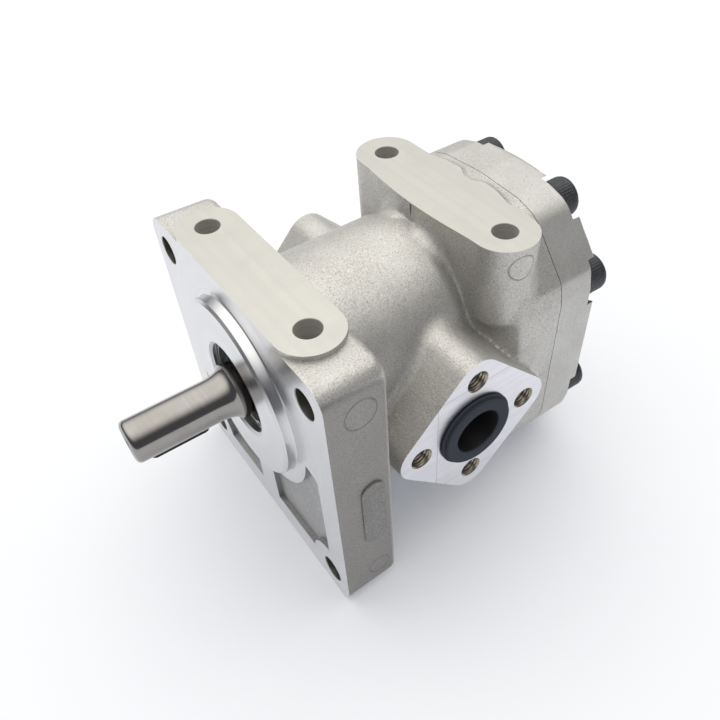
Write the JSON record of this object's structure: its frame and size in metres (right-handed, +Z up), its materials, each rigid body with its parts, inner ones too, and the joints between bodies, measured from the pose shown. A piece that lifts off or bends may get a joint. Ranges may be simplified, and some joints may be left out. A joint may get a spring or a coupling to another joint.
{
  "type": "hydraulic gear pump",
  "caption": "External gear pump: square flange with pilot and keyed shaft, cast barrel body, two plugged side ports, two top pads and a bolted rear cover.",
  "frame": {"origin": "centre of the bottom of the bounding box", "axes": "+Y from the shaft end to the rear cover, +X out of the port seen in the picture, +Z up through the two mounting pads"},
  "size_m": [0.14, 0.2108, 0.1419],
  "materials": {
    "cast_aluminium": "shot-blasted casting with milled faces",
    "ground_steel": "ground",
    "black_oxide": "black oxide",
    "key_steel": "dark drawn steel",
    "bearing_bronze": "bearing bronze",
    "block_aluminium": "machined",
    "black_rubber": "matte",
    "plug_rubber": "satin blue-black",
    "spring_steel": "bright",
    "seal_steel": "dark plated"
  },
  "bodies": {
    "housing": {"pump_body": "cast_aluminium", "rear_cover": "cast_aluminium", "cover_bolt_1": "black_oxide", "cover_bolt_2": "black_oxide", "cover_bolt_3": "black_oxide", "cover_bolt_4": "black_oxide", "cover_bolt_5": "black_oxide", "cover_bolt_6": "black_oxide", "cover_bolt_7": "black_oxide", "cover_bolt_8": "black_oxide", "dowel_pin_1": "ground_steel", "dowel_pin_2": "ground_steel", "front_bearing_block": "block_aluminium", "rear_bearing_block": "block_aluminium", "drive_front_bush": "bearing_bronze", "drive_rear_bush": "bearing_bronze", "driven_front_bush": "bearing_bronze", "driven_rear_bush": "bearing_bronze", "front_side_plate": "bearing_bronze", "rear_side_plate": "bearing_bronze", "front_pressure_seal": "black_rubber", "rear_pressure_seal": "black_rubber", "cover_seal": "black_rubber", "shaft_seal_case": "seal_steel", "shaft_seal_lip": "black_rubber", "seal_retaining_ring": "spring_steel"},
    "drive_shaft": {"drive_gear_shaft": "ground_steel", "shaft_key": "key_steel"},
    "driven_shaft": {"driven_gear_shaft": "ground_steel"},
    "right_plug": {"right_port_plug": "plug_rubber"},
    "left_plug": {"left_port_plug": "plug_rubber"}
  },
  "joints": [
    {"name": "drive_spin", "type": "hinge", "parent": "housing", "child": "drive_shaft", "pos_m": [0, 0.0212, 0.0894], "axis": [0, 1, 0], "continuous": true},
    {"name": "driven_spin", "type": "hinge", "parent": "housing", "child": "driven_shaft", "pos_m": [0, 0.0212, 0.0506], "axis": [0, 1, 0], "continuous": true},
    {"name": "right_plug_pull", "type": "slide", "parent": "housing", "child": "right_plug", "axis": [1, 0, 0], "range_m": [0, 0.03]},
    {"name": "left_plug_pull", "type": "slide", "parent": "housing", "child": "left_plug", "axis": [-1, 0, 0], "range_m": [0, 0.03]}
  ],
  "couplings": [
    {"joint": "driven_spin", "follows": "drive_spin", "ratio": -1}
  ]
}
